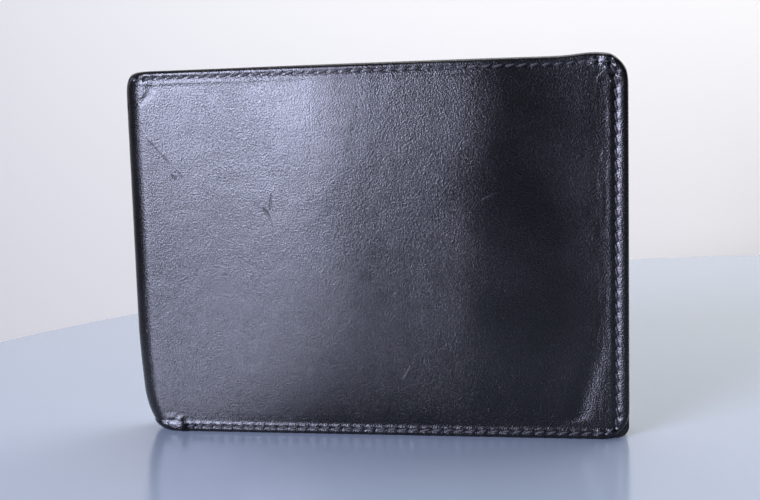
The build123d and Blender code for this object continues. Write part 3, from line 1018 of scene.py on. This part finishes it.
# %% Panel and back of the pouch
flat_sheet("coin_side_panel", "coin_panel", FRONT, "front", inner_leather, 0.003)
flat_sheet("pouch_back", "coin_pouch_back", FRONT, "front", lining_cloth, 0.008, mouth=0)
plain_leather, tree, shader = new_material("edge_leather")
place = put(tree, "ShaderNodeTexCoord")
pebbled = tree.nodes.new("ShaderNodeGroup")
pebbled.node_tree = grain
pebbled.inputs["Pebble Size"].default_value = 0.0005
tree.links.new(place.outputs["Object"], pebbled.inputs["Vector"])
shade = mix(tree, pebbled.outputs["Cloud"], (0.005, 0.005, 0.006, 1), (0.011, 0.010, 0.012, 1))
tree.links.new(shade, shader.inputs["Base Color"])
shader.inputs["Roughness"].default_value = 0.5
bumped = put(tree, "ShaderNodeBump", Strength=1.0, Distance=0.00006)
tree.links.new(pebbled.outputs["Height"], bumped.inputs["Height"])
tree.links.new(bumped.outputs["Normal"], shader.inputs["Normal"])


def finish_solid(node, material):
    """Gives a solid that is kept as it is its material."""
    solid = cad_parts[node]
    solid = bpy.data.objects[solid] if isinstance(solid, str) else solid
    solid.data.materials.clear()
    solid.data.materials.append(material)


finish_solid("coin_pouch_seam", plain_leather)

# %% The flap
flap_low, flap_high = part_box("coin_flap_leather")
root_low, root_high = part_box("coin_flap_root")
flap_near = -flap_high.y
root_near = -root_high.y
flap_corner = 0.017
flap_seam_top = 0.0745


def on_flap(s, t, depth):
    """The flap's line: down from its root, over the shoulder and down in front of the pouch."""
    over = ease((t - flap_seam_top) / 0.0075)
    return (s, -(flap_near + (root_near - flap_near) * over + depth), t)


def flap_relief(s, t):
    """A line pressed in round the flap's edge."""
    side_gap = min(s - flap_low.x, flap_high.x - s)
    edge_gap = min(side_gap, t - flap_low.z)
    if side_gap < flap_corner and t - flap_low.z < flap_corner:
        edge_gap = flap_corner - hypot(flap_corner - side_gap, flap_corner - (t - flap_low.z))
    return -0.00010 * groove(edge_gap - 0.0012, 0.00025) - 0.00012 * groove(edge_gap - 0.0025, 0.0004)


def flap_piece(name, inset, depth, thick, top, material, relief, replaced):
    """One layer of the flap, with rounded lower corners."""

    def place(s, t, extra):
        return on_flap(s, t, depth + extra)

    layer = make_sheet(
        name,
        place,
        steps(flap_low.x + inset, flap_high.x - inset, 0.006, 0.006, 0.0005, 0.0016),
        steps(flap_low.z + inset, top, 0.006, 0.0135, 0.0005, 0.0016),
        {(r, t): (0.001 if t else flap_corner - inset) for r in (False, True) for t in (False, True)},
        thick,
        relief=relief,
    )
    finish_piece(layer, material, replaced)
    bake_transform(layer)
    return layer


flap_piece(
    "flap_leather",
    inset=0,
    depth=0,
    thick=0.0006,
    top=root_high.z,
    material=inner_leather,
    relief=flap_relief,
    replaced=["coin_flap_leather", "coin_flap_root"],
)
flap_piece(
    "flap_lining",
    inset=0.0015,
    depth=0.00062,
    thick=0.00028,
    top=0.0775,
    material=lining_cloth,
    relief=None,
    replaced=["coin_flap_lining"],
)

# %% The pouch's and the flap's stitching
pouch_low, pouch_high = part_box("coin_pouch_seam")
panel_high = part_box("coin_panel")[1]


def on_panel(s, z, depth):
    """The face of the coin panel."""
    return (s, panel_high.y - depth, z)


middle = 0.0015
pouch_path = run(
    [
        (pouch_low.x + middle, panel_high.z - 0.001),
        (pouch_low.x + middle, pouch_low.z + middle),
        (pouch_high.x - middle, pouch_low.z + middle),
        (pouch_high.x - middle, panel_high.z - 0.001),
    ],
    [0.004, 0.004],
)
pouch_seam = sew("pouch_seam", pouch_path, on_panel)
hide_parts("coin_pouch_thread")
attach(pouch_seam, "front")
root_z = 0.0845
root_seam = sew("root_seam", run([(root_low.x + 0.002, root_z), (root_high.x - 0.002, root_z)], []), on_flap)
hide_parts("coin_flap_root_thread")
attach(root_seam, "front")
inset = 0.0025
flap_path = run(
    [
        (flap_low.x + inset, flap_seam_top),
        (flap_low.x + inset, flap_low.z + inset),
        (flap_high.x - inset, flap_low.z + inset),
        (flap_high.x - inset, flap_seam_top),
    ],
    [0.0145, 0.0145],
)
flap_seam = sew("flap_seam", flap_path, on_flap)
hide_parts("coin_flap_thread")
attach(flap_seam, "coin_flap")
bpy.data.objects.remove(stitch)

# %% [markdown]
# ## Press stud
# The cap, socket, stud and post are small turned pieces of nickel-plated brass. The solids already have their exact
# shape, so they stay and get a metal finish with faint rubbed patches.

# %% Nickel
nickel, tree, shader = new_material("nickel")
place = put(tree, "ShaderNodeTexCoord")
rubbed = put(tree, "ShaderNodeTexNoise", Scale=700.0, Detail=3.0)
tree.links.new(place.outputs["Object"], rubbed.inputs["Vector"])
polish = remap(tree, rubbed.outputs["Fac"], 0.3, 0.7, 0.16, 0.30)
tree.links.new(polish, shader.inputs["Roughness"])
shade = mix(tree, rubbed.outputs["Fac"], (0.50, 0.48, 0.45, 1), (0.66, 0.64, 0.61, 1))
tree.links.new(shade, shader.inputs["Base Color"])
shader.inputs["Metallic"].default_value = 1.0
for node in ("snap_cap", "snap_socket", "snap_stud", "snap_post"):
    finish_solid(node, nickel)
print("press stud in nickel")
